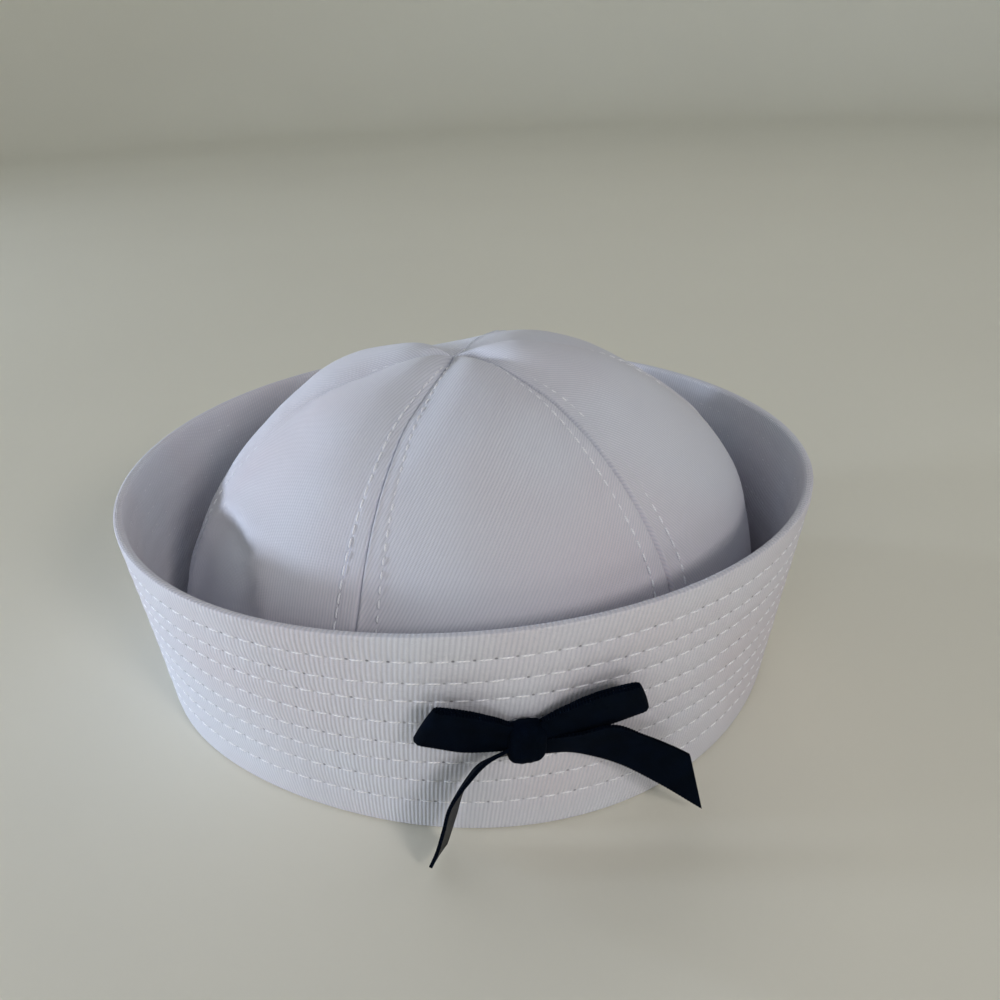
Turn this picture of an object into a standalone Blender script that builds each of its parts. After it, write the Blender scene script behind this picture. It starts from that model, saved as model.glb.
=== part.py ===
"""Sailor hat: six cotton twill crown panels, a stitched turned-up brim and a velvet bow.

Metres, +Z up. The hat stands on the plane z = 0 with its outline centred on the origin. The
bow faces -Y, and an azimuth about the brim's axis is measured from the bow towards +X.
"""

from math import atan2, cos, pi, radians, sin

import bmesh
import bpy
import numpy as np
from mathutils import Vector

# Brim: a stiff band that flares from its folded lower edge to its rim
BRIM_FOOT_RADIUS = 0.0962
BRIM_RIM_RADIUS = 0.1068
BRIM_HEIGHT = 0.0685
BRIM_WALL = 0.0026
BRIM_FOLD_RADIUS = 0.0011

# Seam allowance of the brim, turned in under the crown
FOOT_THICKNESS = 0.0024
FOOT_LIP = 0.0005

# Crown
CROWN_HEIGHT = 0.1005
CROWN_CLOTH = 0.0016
CROWN_SLOPE = 0.08  # rise of the top towards the right
PANEL_ROUNDNESS = 2.4  # 2 rounds a panel evenly from seam to seam, larger keeps its middle flatter

# Bow of narrow velvet ribbon
RIBBON_WIDTH = 0.0125
RIBBON_THICKNESS = 0.0010
BOW_HEIGHT = 0.0367
KNOT_WIDTH = 0.0106
KNOT_HEIGHT = 0.0134
KNOT_DEPTH = 0.0064
LOOP_DEPTH = 0.0036
LOOP_PINCH = 0.0028
LOOP_LEFT_LENGTH = 0.0204
LOOP_RIGHT_LENGTH = 0.0242
LOOP_LEFT_RISE = radians(24)
LOOP_RIGHT_RISE = radians(18.5)
LOOP_TIP = radians(18)  # upper edges of the loops stand further out than the lower ones

# The hat is set back by this much, so that its whole outline with the bow is centred
SET_BACK = 0.0014

# Clearances between neighbouring pieces
SEAM_GAP = 0.0003
JOIN_GAP = 0.0003

# Facets
BRIM_STEPS = 90
WALL_STEPS = 4
FOLD_STEPS = 3
RIM_STEPS = 4
PANEL_ACROSS = 10
PANEL_ALONG = 17
LOOP_STEPS = 7
FOLD_BACK_STEPS = 6
TAIL_STEPS = 12
KNOT_AROUND = 20
KNOT_RINGS = 9
SHARP_ANGLE = radians(40)  # edges between faces that meet more steeply are shaded sharp

# Slow waves of the brim's lower edge and of its rim
# Columns: waves around, height of a wave as a share of the radius, azimuth of a crest in degrees
FOOT_WAVES = (
    (1, 0.007, -155),
    (2, 0.022, 85),
    (3, 0.013, 17),
    (4, 0.011, 4),
)
RIM_WAVES = (
    (1, 0.005, -96),
    (2, 0.013, -1),
    (3, 0.012, -55),
)

# Crown panels, counted from the front towards +X
# Columns: azimuth of the seam at the panel's left in degrees, how far the panel stands out as
# a share of the others
PANELS = (
    (-28.0, 1.00),
    (30.5, 1.40),
    (90.0, 0.30),
    (155.0, -0.50),
    (210.0, 1.15),
    (268.5, 1.20),
)

# Crown along a seam, from its lower edge to its top
# Columns: height as a share of the crown's height, then as shares of the crown's lower radius:
# radius, how far a panel's middle stands out, lean to the right, lean to the front,
# then the share of the lower edge's waves that is left and the share of the top's slope
CROWN_ROWS = (
    (0.000, 1.000, 0.000, 0.000, 0.000, 1.00, 0.00),
    (0.170, 0.982, 0.001, 0.002, 0.000, 0.60, 0.00),
    (0.350, 0.963, 0.002, 0.004, 0.000, 0.20, 0.02),
    (0.475, 0.929, 0.002, 0.011, 0.023, 0.00, 0.12),
    (0.575, 0.888, 0.002, 0.017, 0.044, 0.00, 0.25),
    (0.675, 0.823, 0.003, 0.013, 0.048, 0.00, 0.42),
    (0.775, 0.726, 0.006, 0.007, 0.049, 0.00, 0.60),
    (0.875, 0.589, 0.018, 0.003, 0.046, 0.00, 0.76),
    (0.936, 0.464, 0.032, -0.001, 0.044, 0.00, 0.90),
    (0.980, 0.309, 0.036, 0.000, 0.055, 0.00, 0.96),
    (1.007, 0.164, 0.033, 0.002, 0.066, 0.00, 1.00),
    (1.000, 0.060, 0.022, -0.010, 0.050, 0.00, 1.00),
    (0.994, 0.0095, 0.006, -0.022, 0.037, 0.00, 1.00),
)

# Cut ribbon ends, each row a line across the ribbon from its upper to its lower edge
# Columns: right, up and out of the upper edge, then of the lower edge, in ribbon widths from
# the middle of the knot, out being measured from the face of the brim
TAIL_RIGHT_ROWS = (
    (0.49, -0.08, 0.30, 0.47, -0.36, 0.26),
    (1.00, 0.04, 0.42, 0.88, -0.46, 0.26),
    (1.62, 0.26, 0.43, 1.34, -0.66, 0.28),
    (2.33, -0.16, 0.42, 1.93, -0.98, 0.34),
    (2.86, -0.54, 0.42, 2.68, -1.60, 0.40),
    (3.28, -0.87, 0.44, 3.71, -2.62, 0.42),
)
TAIL_LEFT_ROWS = (
    (-0.43, -0.23, 0.42, -0.43, -0.42, 0.18),
    (-0.86, -0.20, 0.74, -0.64, -0.58, 0.10),
    (-1.22, -0.40, 0.88, -0.92, -0.76, 0.05),
    (-1.58, -0.84, 0.96, -1.28, -1.20, 0.08),
    (-1.78, -1.44, 1.01, -1.48, -1.78, 0.15),
    (-1.94, -2.00, 1.05, -1.64, -2.26, 0.20),
    (-2.04, -2.50, 0.98, -1.68, -2.44, 0.14),
)

# Shape of the knot: 2 is an ellipsoid, larger is boxier
KNOT_SQUARENESS = 3.4

# Ribbon where it enters the knot: its width as a share of the ribbon's, and how far above the
# knot's middle the loops leave it as a share of the knot's height
GATHERED = 0.66
LOOP_ROOT = 0.30

# Share of a loop's length by which it is open, and by which it has its full width
LOOP_OPENED = 0.5

# Finishes: colour, roughness, sheen
COTTON = ((0.62, 0.64, 0.70, 1.0), 0.85, 0.3)
VELVET = ((0.004, 0.005, 0.012, 1.0), 0.90, 1.0)


def waves(table, azimuth):
    """Radius factor of a wavy ring at an azimuth."""
    share = sum(size * cos(count * (azimuth - radians(crest))) for count, size, crest in table)
    return 1 + share


def brim_radius(azimuth, height):
    """Radius of the brim's outer face at a height above the ground."""
    foot = BRIM_FOOT_RADIUS * waves(FOOT_WAVES, azimuth)
    rim = BRIM_RIM_RADIUS * waves(RIM_WAVES, azimuth)
    return foot + (rim - foot) * height / BRIM_HEIGHT


def around(azimuth, radius, height):
    """Point at an azimuth, a distance from the axis and a height."""
    return Vector((radius * sin(azimuth), -radius * cos(azimuth), height))


def arc(centre_inset, centre_height, radius, start, end, steps):
    """Section points along an arc, as pairs of inset and height, angles from the outside up."""
    angles = np.linspace(start, end, steps + 1)
    return [(centre_inset - radius * cos(angle), centre_height + radius * sin(angle))
            for angle in angles]


def eased(share):
    """Smooth step from 0 to 1."""
    return share * share * (3 - 2 * share)


def along_curve(rows, measured, count):
    """Rows read at even steps along a smooth curve through the given rows.

    The first columns, as many as measured says, are the ones whose distance counts.
    """
    table = np.array(rows, dtype=float)
    lengths = np.linalg.norm(np.diff(table[:, :measured], axis=0), axis=1)
    ways = np.concatenate(([0.0], np.cumsum(lengths))) / lengths.sum()
    slopes = np.gradient(table, ways, axis=0)
    shares = np.linspace(0.0, 1.0, count)
    start = np.clip(np.searchsorted(ways, shares, side="right") - 1, 0, len(ways) - 2)
    span = (ways[start + 1] - ways[start])[:, None]
    part = (shares - ways[start])[:, None] / span
    near = eased(part)
    leaving = part * (1 - part) ** 2 * span
    arriving = part * part * (part - 1) * span
    return (table[start] * (1 - near) + table[start + 1] * near
            + slopes[start] * leaving + slopes[start + 1] * arriving)


def cloth_material(name, finish):
    """Principled material from a colour, a roughness and a sheen."""
    colour, roughness, sheen = finish
    material = bpy.data.materials.new(name)
    material.use_nodes = True
    material.diffuse_color = colour
    shader = material.node_tree.nodes["Principled BSDF"]
    shader.inputs["Base Color"].default_value = colour
    shader.inputs["Roughness"].default_value = roughness
    shader.inputs["Metallic"].default_value = 0.0
    shader.inputs["Sheen Weight"].default_value = sheen
    return material


def add_solid(name, points, faces, finish, parent):
    """One object from a closed mesh, with its faces turned outwards and shaded smooth."""
    form = bmesh.new()
    corners = [form.verts.new(point) for point in points]
    for face in faces:
        form.faces.new([corners[index] for index in face])
    bmesh.ops.recalc_face_normals(form, faces=form.faces)
    mesh = bpy.data.meshes.new(name)
    form.to_mesh(mesh)
    form.free()
    mesh.shade_smooth()
    mesh.set_sharp_from_angle(angle=SHARP_ANGLE)
    mesh.materials.append(cloth_material(name + "_cloth", finish))
    piece = bpy.data.objects.new(name, mesh)
    bpy.context.scene.collection.objects.link(piece)
    piece.parent = parent
    return piece


def tube_faces(rings, sides, closed):
    """Quads between rings of points, joined end to end or capped."""
    faces = []
    for ring in range(rings if closed else rings - 1):
        after = (ring + 1) % rings
        for side in range(sides):
            beside = (side + 1) % sides
            faces.append((ring * sides + side, ring * sides + beside,
                          after * sides + beside, after * sides + side))
    if not closed:
        faces.append(tuple(range(sides)))
        faces.append(tuple((rings - 1) * sides + side for side in range(sides)))
    return faces


def crown_seat():
    """Height of the crown's lower edge, just above the turned-in seam allowance."""
    return FOOT_THICKNESS + JOIN_GAP


def foot_width():
    """Width of the brim's underside, from its outer face to just past the crown's cloth."""
    return BRIM_WALL + JOIN_GAP + CROWN_CLOTH + FOOT_LIP


def brim_section():
    """Closed section of the brim as pairs of inset from its outer face and height."""
    lower = arc(BRIM_FOLD_RADIUS, BRIM_FOLD_RADIUS, BRIM_FOLD_RADIUS, -pi / 2, 0, FOLD_STEPS)
    edge = BRIM_WALL / 2
    rim_start = BRIM_HEIGHT - edge
    wall = [(0, height) for height in
            np.linspace(BRIM_FOLD_RADIUS, rim_start, WALL_STEPS + 1)[1:-1]]
    rim = arc(edge, rim_start, edge, 0, pi, RIM_STEPS)
    inner = [(BRIM_WALL, height) for height in
             np.linspace(rim_start, FOOT_THICKNESS, WALL_STEPS + 1)[1:]]
    foot = [(foot_width(), FOOT_THICKNESS), (foot_width(), 0)]
    return lower + wall + rim + inner + foot


def build_brim(parent):
    """Flaring band with a rounded rim and its seam allowance turned in at the foot."""
    section = brim_section()
    points = []
    for step in range(BRIM_STEPS):
        azimuth = 2 * pi * step / BRIM_STEPS
        for inset, height in section:
            points.append(around(azimuth, brim_radius(azimuth, height) - inset, height))
    faces = tube_faces(BRIM_STEPS, len(section), closed=True)
    return add_solid("brim", points, faces, COTTON, parent)


def crown_foot_radius(azimuth):
    """Radius of the crown's outer face at its lower edge, inside the brim."""
    return brim_radius(azimuth, crown_seat()) - BRIM_WALL - JOIN_GAP


def crown_meridian():
    """Seam line of the crown, as rows of sizes in metres, and the crown's lower radius.

    Columns: height, radius, outward normal as radius and height, stand-out of a panel's
    middle, lean to the right, lean to the front, share of the waves, share of the slope.
    """
    size = BRIM_FOOT_RADIUS - BRIM_WALL - JOIN_GAP
    rise = CROWN_HEIGHT - crown_seat()
    scale = np.array((rise, size, size, size, size, 1.0, 1.0))
    rows = along_curve(np.array(CROWN_ROWS) * scale, 2, PANEL_ALONG)
    way = np.gradient(rows[:, :2], axis=0)
    way /= np.linalg.norm(way, axis=1)[:, None]
    normal = np.stack((way[:, 0], -way[:, 1]), axis=1)
    normal[0] = (1.0, 0.0)
    rows[:, 0] += crown_seat()
    return np.hstack((rows[:, :2], normal, rows[:, 2:])), size


def panel_grid(left, right, fullness, inset):
    """Rows of points of a panel between two seams, inset from its outer face."""
    rows, size = crown_meridian()
    middle = (left + right) / 2
    half = (right - left) / 2
    grid = []
    for height, radius, out, up, stand, lean_right, lean_front, wavy, sloping in rows:
        line = []
        seam_radius = radius - inset * out
        reach = half - np.arcsin(SEAM_GAP / 2 / seam_radius)
        for step in range(PANEL_ACROSS + 1):
            share = 2 * step / PANEL_ACROSS - 1
            azimuth = middle + share * reach
            foot = crown_foot_radius(azimuth)
            stretch = 1 + wavy * (foot / size - 1)
            push = fullness * stand * (1 - abs(share) ** PANEL_ROUNDNESS) - inset
            point = around(azimuth, radius * stretch + push * out, height + push * up)
            point.z += sloping * CROWN_SLOPE * point.x
            point += Vector((lean_right, -lean_front, 0))
            line.append(point)
        grid.append(line)
    return grid


def build_panel(number, parent):
    """One crown panel: a curved wall of cloth between two seams, up to the top."""
    seams = [radians(seam) for seam, _ in PANELS] + [radians(PANELS[0][0]) + 2 * pi]
    left, right = seams[number - 1:number + 1]
    fullness = PANELS[number - 1][1]
    outer = panel_grid(left, right, fullness, 0)
    inner = panel_grid(left, right, fullness, CROWN_CLOTH)
    points = [point for grid in (outer, inner) for line in grid for point in line]
    width = PANEL_ACROSS + 1
    behind = PANEL_ALONG * width
    faces = []
    for row in range(PANEL_ALONG - 1):
        for step in range(PANEL_ACROSS):
            first = row * width + step
            quad = (first, first + 1, first + width + 1, first + width)
            faces.append(quad)
            faces.append(tuple(behind + index for index in reversed(quad)))
        for side in (0, PANEL_ACROSS):
            first = row * width + side
            faces.append((first, first + width, behind + first + width, behind + first))
    for row in (0, PANEL_ALONG - 1):
        for step in range(PANEL_ACROSS):
            first = row * width + step
            faces.append((first, first + 1, behind + first + 1, behind + first))
    return add_solid(f"crown_panel_{number}", points, faces, COTTON, parent)


def bow_frame():
    """Middle of the bow on the brim's face, with its right, up and outward directions."""
    foot = brim_radius(0, 0)
    lean = atan2(brim_radius(0, BRIM_HEIGHT) - foot, BRIM_HEIGHT)
    middle = around(0, brim_radius(0, BOW_HEIGHT), BOW_HEIGHT)
    right = Vector((1, 0, 0))
    up = Vector((0, -sin(lean), cos(lean)))
    out = Vector((0, -cos(lean), -sin(lean)))
    return middle, right, up, out


def on_bow(right, up, out):
    """Point given by its distances from the middle of the bow."""
    middle, to_right, to_up, to_out = bow_frame()
    return middle + to_right * right + to_up * up + to_out * out


def knot_middle():
    """Distance from the brim's face to the middle of the knot."""
    return JOIN_GAP + KNOT_DEPTH / 2


def rounded(angle):
    """Cosine and sine of an angle on a rounded square."""
    power = 2 / KNOT_SQUARENESS
    return [np.sign(value) * abs(value) ** power for value in (cos(angle), sin(angle))]


def build_knot(parent):
    """Wrapped middle of the bow, a rounded block."""
    points = []
    for ring in range(1, KNOT_RINGS):
        side, rise = rounded(pi * ring / KNOT_RINGS - pi / 2)
        for step in range(KNOT_AROUND):
            across, deep = rounded(2 * pi * step / KNOT_AROUND)
            points.append(on_bow(KNOT_WIDTH / 2 * across * side, KNOT_HEIGHT / 2 * rise,
                                 knot_middle() + KNOT_DEPTH / 2 * deep * side))
    faces = tube_faces(KNOT_RINGS - 1, KNOT_AROUND, closed=False)
    return add_solid("bow_knot", points, faces, VELVET, parent)


def build_ribbon(name, lines, parent):
    """Strip of ribbon through lines across it, each a pair of an upper and a lower point."""
    middles = np.array([(np.array(upper) + np.array(lower)) / 2 for upper, lower in lines])
    ways = np.gradient(middles, axis=0)
    points = []
    for (upper, lower), way in zip(lines, ways):
        face = Vector(way).cross(upper - lower).normalized() * (RIBBON_THICKNESS / 2)
        points += [upper + face, upper - face, lower - face, lower + face]
    faces = tube_faces(len(lines), 4, closed=False)
    return add_solid(name, points, faces, VELVET, parent)


def loop_route(length):
    """Route of a flattened loop, out along the brim and back: pairs of distance and depth."""
    spread = (LOOP_DEPTH - RIBBON_THICKNESS) / 2
    pinch = (LOOP_PINCH - RIBBON_THICKNESS) / 2
    turn = length - RIBBON_THICKNESS / 2 - spread
    out_route = []
    for step in range(LOOP_STEPS):
        share = step / LOOP_STEPS
        opening = eased(min(1, share / LOOP_OPENED))
        out_route.append((turn * share, -(pinch + (spread - pinch) * opening)))
    fold = [(turn + spread * cos(angle), spread * sin(angle))
            for angle in np.linspace(-pi / 2, pi / 2, FOLD_BACK_STEPS + 1)]
    back_route = [(distance, -depth) for distance, depth in reversed(out_route)]
    return out_route + fold + back_route


def build_loop(name, side, length, rise, parent):
    """Flattened ribbon loop that leaves the knot on one side and slopes upwards."""
    start_side = KNOT_WIDTH / 2 + JOIN_GAP
    start_up = KNOT_HEIGHT * LOOP_ROOT
    lines = []
    for distance, depth in loop_route(length):
        share = min(1, distance / length / LOOP_OPENED)
        spread_out = share * (2 - share)
        width = RIBBON_WIDTH * (GATHERED + (1 - GATHERED) * spread_out)
        sloping = Vector((-side * sin(rise) * cos(LOOP_TIP), cos(rise) * cos(LOOP_TIP),
                          sin(LOOP_TIP)))
        across = Vector((0, 1, 0)).lerp(sloping, spread_out) * (width / 2)
        middle = Vector((side * (start_side + distance * cos(rise)),
                         start_up + distance * sin(rise), knot_middle() + depth))
        lines.append((on_bow(*(middle + across)), on_bow(*(middle - across))))
    return build_ribbon(name, lines, parent)


def build_tail(name, rows, parent):
    """Cut ribbon end through lines across it."""
    lines = []
    for row in along_curve(rows, 6, TAIL_STEPS):
        sizes = [float(share) * RIBBON_WIDTH for share in row]
        lines.append((on_bow(*sizes[:3]), on_bow(*sizes[3:])))
    return build_ribbon(name, lines, parent)


def build_bow(parent):
    """Knot, two loops and two cut ends, tied flat on the front of the brim."""
    build_knot(parent)
    build_loop("bow_loop_left", -1, LOOP_LEFT_LENGTH, LOOP_LEFT_RISE, parent)
    build_loop("bow_loop_right", 1, LOOP_RIGHT_LENGTH, LOOP_RIGHT_RISE, parent)
    build_tail("bow_tail_left", TAIL_LEFT_ROWS, parent)
    build_tail("bow_tail_right", TAIL_RIGHT_ROWS, parent)


def main():
    """Clear the scene and build the hat under one empty."""
    for item in list(bpy.data.objects):
        bpy.data.objects.remove(item, do_unlink=True)
    hat = bpy.data.objects.new("hat", None)
    hat.location = (0, SET_BACK, 0)
    bpy.context.scene.collection.objects.link(hat)
    build_brim(hat)
    for number in range(1, len(PANELS) + 1):
        build_panel(number, hat)
    build_bow(hat)
    bpy.context.view_layer.update()


main()
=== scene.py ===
"""Sailor hat in white cotton twill, with a row-stitched turned-up brim and a velvet ribbon bow.

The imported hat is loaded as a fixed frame, and each sewn piece is remade over its solid with the
relief of the real cloth: seams, seam allowances, topstitching, needle holes, puckers and ribbon
edges. Metres, +Z up. The bow faces -Y, and an azimuth about the brim's axis is measured from
the bow towards +X.
"""

from __future__ import annotations

import logging
from dataclasses import dataclass
from enum import Enum
from math import atan2, cos, pi, radians, sin
from typing import Any

import bpy
import numpy as np
from bpy.types import Material, Mesh, NodeTree, Object
from mathutils import Matrix, Vector, noise


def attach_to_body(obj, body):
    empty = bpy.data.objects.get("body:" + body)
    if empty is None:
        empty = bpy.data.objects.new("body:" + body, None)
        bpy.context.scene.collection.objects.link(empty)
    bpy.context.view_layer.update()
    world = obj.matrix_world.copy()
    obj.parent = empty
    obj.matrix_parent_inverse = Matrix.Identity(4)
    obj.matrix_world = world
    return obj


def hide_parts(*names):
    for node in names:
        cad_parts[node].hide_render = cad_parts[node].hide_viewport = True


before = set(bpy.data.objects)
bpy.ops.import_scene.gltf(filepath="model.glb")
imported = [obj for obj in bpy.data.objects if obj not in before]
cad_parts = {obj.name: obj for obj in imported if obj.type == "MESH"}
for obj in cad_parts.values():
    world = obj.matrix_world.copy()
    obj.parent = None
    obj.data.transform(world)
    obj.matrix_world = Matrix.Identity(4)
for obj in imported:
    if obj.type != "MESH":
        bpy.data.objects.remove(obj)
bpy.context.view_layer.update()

log = logging.getLogger("sailor_hat")

BODY = "root"
MM = 0.001
SEED = 11
MERGE = 0.00001


class Side(Enum):
    """Side of the bow or of a seam, as seen from the front."""

    LEFT = -1
    RIGHT = 1


class Face(Enum):
    """Face of the brim's wall, with the direction of its outward normal from the axis."""

    OUTER = 1
    INNER = -1


class Slot(Enum):
    """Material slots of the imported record."""

    BRIM = "brim_cotton"
    CROWN = "crown_cotton"
    BOW = "bow_velvet"


def linear(colour: str) -> tuple[float, float, float, float]:
    """Turns an sRGB hex colour to linear light.

    Args:
        colour: Six hex digits.

    Returns:
        Linear red, green and blue, with an alpha of 1.
    """
    shares = [int(colour[start:start + 2], 16) / 255 for start in (0, 2, 4)]
    light = [share / 12.92 if share <= 0.04045 else ((share + 0.055) / 1.055) ** 2.4
             for share in shares]
    return light[0], light[1], light[2], 1.0


def add_node(tree: NodeTree, kind: str, links: dict[Any, Any] | None = None,
             values: dict[Any, Any] | None = None, out: int | str = 0, **settings: Any) -> Any:
    """Adds a shader node with its settings, fixed values and incoming links.

    Args:
        tree: Node tree that takes the node.
        kind: Type of the node, without the word that all of them start with.
        links: Output socket for each linked input, by the input's name or place.
        values: Value for each fixed input, by its name or place.
        out: Name or place of the output that is wanted.
        **settings: Properties of the node.

    Returns:
        That output socket of the new node.
    """
    node = tree.nodes.new("ShaderNode" + kind)
    for name, setting in settings.items():
        setattr(node, name, setting)
    for place, value in (values or {}).items():
        node.inputs[place].default_value = value
    for place, source in (links or {}).items():
        tree.links.new(source, node.inputs[place])
    return node.outputs[out]


def new_material(name: str) -> Material:
    """Makes a material that holds only its Principled shader and its output."""
    material = bpy.data.materials.new(name)
    material.use_nodes = True
    return material


def surfaced(material: Material, colour: Any, height: Any,
             bump: tuple[float, float], values: dict[str, Any]) -> Material:
    """Links a material's colour and relief to its shader and sets the shader's own values.

    Args:
        material: Material whose other nodes are in place.
        colour: Socket with the colour.
        height: Socket with the relief, or None for a flat surface.
        bump: Strength of the relief, and its height in millimetres.
        values: Value for each of the shader's inputs that is even all over.

    Returns:
        The same material.
    """
    tree = material.node_tree
    shader = tree.nodes["Principled BSDF"]
    tree.links.new(colour, shader.inputs["Base Color"])
    if height is not None:
        normal = add_node(tree, "Bump", {"Height": height},
                          {"Strength": bump[0], "Distance": bump[1] * MM})
        tree.links.new(normal, shader.inputs["Normal"])
    for name, value in values.items():
        shader.inputs[name].default_value = value
    return material


def wave_scale(pitch_mm: float) -> float:
    """Scale at which a wave texture's bands are a pitch apart."""
    return 2 * pi / 20 / (pitch_mm * MM)


@dataclass(frozen=True)
class CottonTwill:
    """Bleached cotton twill: matt cool white, with fine raised ribs of yarn and short fuzz."""

    name: str
    light: str = "d9dce6"
    # Colour of the painted shade in the valleys between the ribs
    shade: str = "c0c3cf"
    tint: str = "d6d0d7"
    # Colour of the painted shade inside the needle holes
    hole: str = "84868f"
    rib_mm: float = 1.1
    yarn_mm: float = 0.55
    fuzz_mm: float = 0.5
    relief_mm: float = 0.125
    # How high the ribs, the fuzz and the needle holes are beside a yarn
    rib_share: float = 2.4
    fuzz_share: float = 0.9
    hole_share: float = -4.0
    roughness: float = 0.88
    sheen: float = 0.25
    needle_holes: bool = False
    hole_mm: tuple[float, float] = (0.42, 0.34)
    stitch_mm: float = 4.75

    def holes(self, tree: NodeTree) -> Any:
        """Adds the mask of the needle holes between the stitches of the brim, which both sinks
        the relief there and paints shade into the holes.

        Args:
            tree: Node tree of the material.

        Returns:
            Socket that is 1 in a needle hole and 0 elsewhere.
        """
        rows = add_node(tree, "UVMap", uv_map="stitch_rows")
        parts = add_node(tree, "SeparateXYZ", {0: rows}).node.outputs
        cell = add_node(tree, "Math", {0: parts[0]}, {1: 0.5}, operation="ADD")
        share = add_node(tree, "Math", {0: cell}, operation="FRACT")
        middle = add_node(tree, "Math", {0: share}, {1: 0.5}, operation="SUBTRACT")
        along = add_node(tree, "Math", {0: middle}, {1: self.stitch_mm / self.hole_mm[0]},
                         operation="MULTIPLY")
        up = add_node(tree, "Math", {0: parts[1]}, {1: 1 / (self.hole_mm[1] * MM)},
                      operation="MULTIPLY")
        both = add_node(tree, "CombineXYZ", {0: along, 1: up})
        away = add_node(tree, "VectorMath", {0: both}, out="Value", operation="LENGTH")
        mask = add_node(tree, "MapRange", {"Value": away},
                        {"From Min": 0.45, "From Max": 1.25, "To Min": 1.0, "To Max": 0.0},
                        interpolation_type="SMOOTHSTEP")
        whole = add_node(tree, "Math", {0: cell}, operation="FLOOR")
        chance = add_node(tree, "TexWhiteNoise", {"W": whole}, out="Value",
                          noise_dimensions="1D")
        strength = add_node(tree, "MapRange", {"Value": chance},
                            {"To Min": 0.25, "To Max": 1.0})
        return add_node(tree, "Math", {0: mask, 1: strength}, operation="MULTIPLY")

    def material(self) -> Material:
        """Builds the material, of ribs, yarns and fuzz over faintly uneven white, with painted
        shade in the rib valleys and needle holes.
        """
        material = new_material(self.name)
        tree = material.node_tree
        cloth = add_node(tree, "UVMap", uv_map="cloth")
        ribs, yarns = [
            add_node(tree, "TexWave", {"Vector": cloth},
                     {"Scale": wave_scale(pitch_mm), "Distortion": uneven, "Detail": 2.0,
                      "Detail Scale": 0.35}, out="Fac", bands_direction=across)
            for pitch_mm, uneven, across in ((self.rib_mm, 0.6, "X"), (self.yarn_mm, 1.2, "Y"))]
        fuzz = add_node(tree, "TexNoise", {"Vector": cloth},
                        {"Scale": 1 / (self.fuzz_mm * MM), "Detail": 3.0, "Roughness": 0.6},
                        out="Fac")
        weave = add_node(tree, "Math", {0: ribs, 2: yarns}, {1: self.rib_share},
                         operation="MULTIPLY_ADD")
        height = add_node(tree, "Math", {0: fuzz, 2: weave}, {1: self.fuzz_share},
                          operation="MULTIPLY_ADD")
        place = add_node(tree, "TexCoord", out="Object")
        patches = add_node(tree, "TexNoise", {"Vector": place},
                           {"Scale": 16.0, "Detail": 2.0, "Roughness": 0.5}, out="Fac")
        tinted = add_node(tree, "MapRange", {"Value": patches},
                          {"From Min": 0.40, "From Max": 0.68})
        plain = add_node(tree, "Mix", {"Factor": tinted},
                         {"A": linear(self.light), "B": linear(self.tint)}, out="Result",
                         data_type="RGBA")
        # Painted shade in the valleys between the ribs
        painted_valley_shade = add_node(tree, "MapRange", {"Value": ribs},
                          {"From Min": 0.0, "From Max": 0.65, "To Min": 0.62, "To Max": 0.0})
        colour = add_node(tree, "Mix", {"Factor": painted_valley_shade, "A": plain},
                          {"B": linear(self.shade)}, out="Result", data_type="RGBA")
        # Painted shade in the needle holes, which also sink the relief
        if self.needle_holes:
            mask = self.holes(tree)
            colour = add_node(tree, "Mix", {"Factor": mask, "A": colour},
                              {"B": linear(self.hole)}, out="Result", data_type="RGBA")
            height = add_node(tree, "Math", {0: mask, 2: height}, {1: self.hole_share},
                              operation="MULTIPLY_ADD")
        return surfaced(material, colour, height, (1.0, self.relief_mm / self.rib_share),
                        {"Roughness": self.roughness, "Sheen Weight": self.sheen,
                         "Sheen Roughness": 0.5, "Specular IOR Level": 0.25})


@dataclass(frozen=True)
class RibbedYarn:
    """Yarn in fine even ribs, which show in its relief and in painted shade between them."""

    name: str
    light: str
    # Colour of the painted shade between the ribs
    shade: str
    rib_mm: float
    across: str
    uneven: float
    bump: tuple[float, float]
    roughness: float
    specular: float

    def material(self) -> Material:
        """Builds the material, of even bands along the cloth's own map, with painted shade
        between the ribs.
        """
        material = new_material(self.name)
        tree = material.node_tree
        cloth = add_node(tree, "UVMap", uv_map="cloth")
        ribs = add_node(tree, "TexWave", {"Vector": cloth},
                        {"Scale": wave_scale(self.rib_mm), "Distortion": self.uneven},
                        out="Fac", bands_direction=self.across)
        # Painted shade between the ribs
        colour = add_node(tree, "Mix", {"Factor": ribs},
                          {"A": linear(self.shade), "B": linear(self.light)}, out="Result",
                          data_type="RGBA")
        return surfaced(material, colour, ribs, self.bump,
                        {"Roughness": self.roughness, "Specular IOR Level": self.specular})


# Spun polyester sewing thread: brighter and a little glossier than the cotton round it, with
# its plies as slanted bands and painted shade between them
SEWING_THREAD = RibbedYarn("white_polyester_thread", "fbfbff", "e4e6ee", rib_mm=0.5,
                           across="DIAGONAL", uneven=0.0, bump=(0.6, 0.05), roughness=0.55,
                           specular=0.4)
# Woven back and selvedge of the velvet ribbon: flat charcoal with a fine cross rib, and painted
# shade between the ribs
RIBBON_BACK = RibbedYarn("charcoal_ribbon_weave", "0f1014", "08090c", rib_mm=0.5, across="X",
                         uneven=0.4, bump=(0.7, 0.08), roughness=0.6, specular=0.25)


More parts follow.
